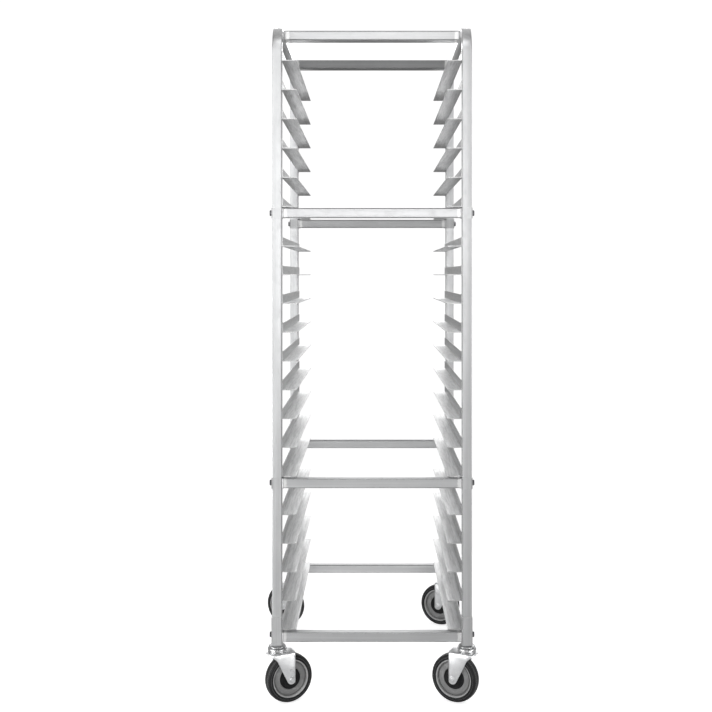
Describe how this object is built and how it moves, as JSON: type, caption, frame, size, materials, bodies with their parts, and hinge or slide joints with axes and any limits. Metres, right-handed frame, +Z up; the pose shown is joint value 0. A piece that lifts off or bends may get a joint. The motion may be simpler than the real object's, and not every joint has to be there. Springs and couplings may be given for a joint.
{
  "type": "sheet pan rack",
  "caption": "Tall open aluminium bakery rack: angle runners up both sides carry sheet pans loaded from either end, on swivel casters, with bent-over side hoops at the top.",
  "frame": {"origin": "on the floor, midway between the four posts", "axes": "+Z up, -Y towards the front end that pans are loaded from, +X to the right seen from the front"},
  "size_m": [0.6164, 0.7164, 1.7765],
  "materials": {
    "aluminium": "mill-finish extruded tube and angle, satin, fine drawn lines along the length",
    "bolt_steel": "dull plated hex bolts",
    "zinc_plate": "bright zinc-plated pressed steel",
    "chrome": "polished plated race housing",
    "tyre_rubber": "black solid tyre, matt with a slight sheen",
    "wheel_core_plastic": "grey moulded wheel centre with a lighter rim",
    "hub_plastic": "black moulded hub"
  },
  "bodies": {
    "rack": {"left_upper_hoop_ladder": "aluminium", "left_middle_ladder": "aluminium", "left_lower_ladder": "aluminium", "right_upper_hoop_ladder": "aluminium", "right_middle_ladder": "aluminium", "right_lower_ladder": "aluminium", "top_front_crossbar": "aluminium", "top_rear_crossbar": "aluminium", "upper_middle_front_crossbar": "aluminium", "upper_middle_front_left_bolt": "bolt_steel", "upper_middle_front_right_bolt": "bolt_steel", "upper_middle_rear_crossbar": "aluminium", "upper_middle_rear_left_bolt": "bolt_steel", "upper_middle_rear_right_bolt": "bolt_steel", "lower_middle_front_crossbar": "aluminium", "lower_middle_front_left_bolt": "bolt_steel", "lower_middle_front_right_bolt": "bolt_steel", "lower_middle_rear_crossbar": "aluminium", "lower_middle_rear_left_bolt": "bolt_steel", "lower_middle_rear_right_bolt": "bolt_steel", "lower_front_crossbar": "aluminium", "lower_front_left_bolt": "bolt_steel", "lower_front_right_bolt": "bolt_steel", "lower_rear_crossbar": "aluminium", "lower_rear_left_bolt": "bolt_steel", "lower_rear_right_bolt": "bolt_steel", "front_left_caster_stem": "zinc_plate", "front_right_caster_stem": "zinc_plate", "rear_left_caster_stem": "zinc_plate", "rear_right_caster_stem": "zinc_plate"},
    "front_left_fork": {"front_left_caster_fork": "zinc_plate", "front_left_swivel_race": "chrome", "front_left_axle_bolt": "zinc_plate", "front_left_axle_nut": "zinc_plate"},
    "front_left_wheel": {"front_left_wheel_hub": "hub_plastic", "front_left_wheel_core": "wheel_core_plastic", "front_left_tyre": "tyre_rubber"},
    "front_right_fork": {"front_right_caster_fork": "zinc_plate", "front_right_swivel_race": "chrome", "front_right_axle_bolt": "zinc_plate", "front_right_axle_nut": "zinc_plate"},
    "front_right_wheel": {"front_right_wheel_hub": "hub_plastic", "front_right_wheel_core": "wheel_core_plastic", "front_right_tyre": "tyre_rubber"},
    "rear_left_fork": {"rear_left_caster_fork": "zinc_plate", "rear_left_swivel_race": "chrome", "rear_left_axle_bolt": "zinc_plate", "rear_left_axle_nut": "zinc_plate"},
    "rear_left_wheel": {"rear_left_wheel_hub": "hub_plastic", "rear_left_wheel_core": "wheel_core_plastic", "rear_left_tyre": "tyre_rubber"},
    "rear_right_fork": {"rear_right_caster_fork": "zinc_plate", "rear_right_swivel_race": "chrome", "rear_right_axle_bolt": "zinc_plate", "rear_right_axle_nut": "zinc_plate"},
    "rear_right_wheel": {"rear_right_wheel_hub": "hub_plastic", "rear_right_wheel_core": "wheel_core_plastic", "rear_right_tyre": "tyre_rubber"}
  },
  "joints": [
    {"name": "front_left_swivel", "type": "hinge", "parent": "rack", "child": "front_left_fork", "pos_m": [-0.24765, -0.3173, 0.142], "axis": [0, 0, 1], "continuous": true},
    {"name": "front_left_wheel_spin", "type": "hinge", "parent": "front_left_fork", "child": "front_left_wheel", "pos_m": [-0.21914, -0.30277, 0.0635], "axis": [-0.454, 0.891, 0], "continuous": true},
    {"name": "front_right_swivel", "type": "hinge", "parent": "rack", "child": "front_right_fork", "pos_m": [0.24765, -0.3173, 0.142], "axis": [0, 0, 1], "continuous": true},
    {"name": "front_right_wheel_spin", "type": "hinge", "parent": "front_right_fork", "child": "front_right_wheel", "pos_m": [0.21914, -0.30277, 0.0635], "axis": [-0.454, -0.891, 0], "continuous": true},
    {"name": "rear_left_swivel", "type": "hinge", "parent": "rack", "child": "rear_left_fork", "pos_m": [-0.24765, 0.3173, 0.142], "axis": [0, 0, 1], "continuous": true},
    {"name": "rear_left_wheel_spin", "type": "hinge", "parent": "rear_left_fork", "child": "rear_left_wheel", "pos_m": [-0.27616, 0.33183, 0.0635], "axis": [-0.454, -0.891, 0], "continuous": true},
    {"name": "rear_right_swivel", "type": "hinge", "parent": "rack", "child": "rear_right_fork", "pos_m": [0.24765, 0.3173, 0.142], "axis": [0, 0, 1], "continuous": true},
    {"name": "rear_right_wheel_spin", "type": "hinge", "parent": "rear_right_fork", "child": "rear_right_wheel", "pos_m": [0.21914, 0.33183, 0.0635], "axis": [-0.454, -0.891, 0], "continuous": true}
  ]
}
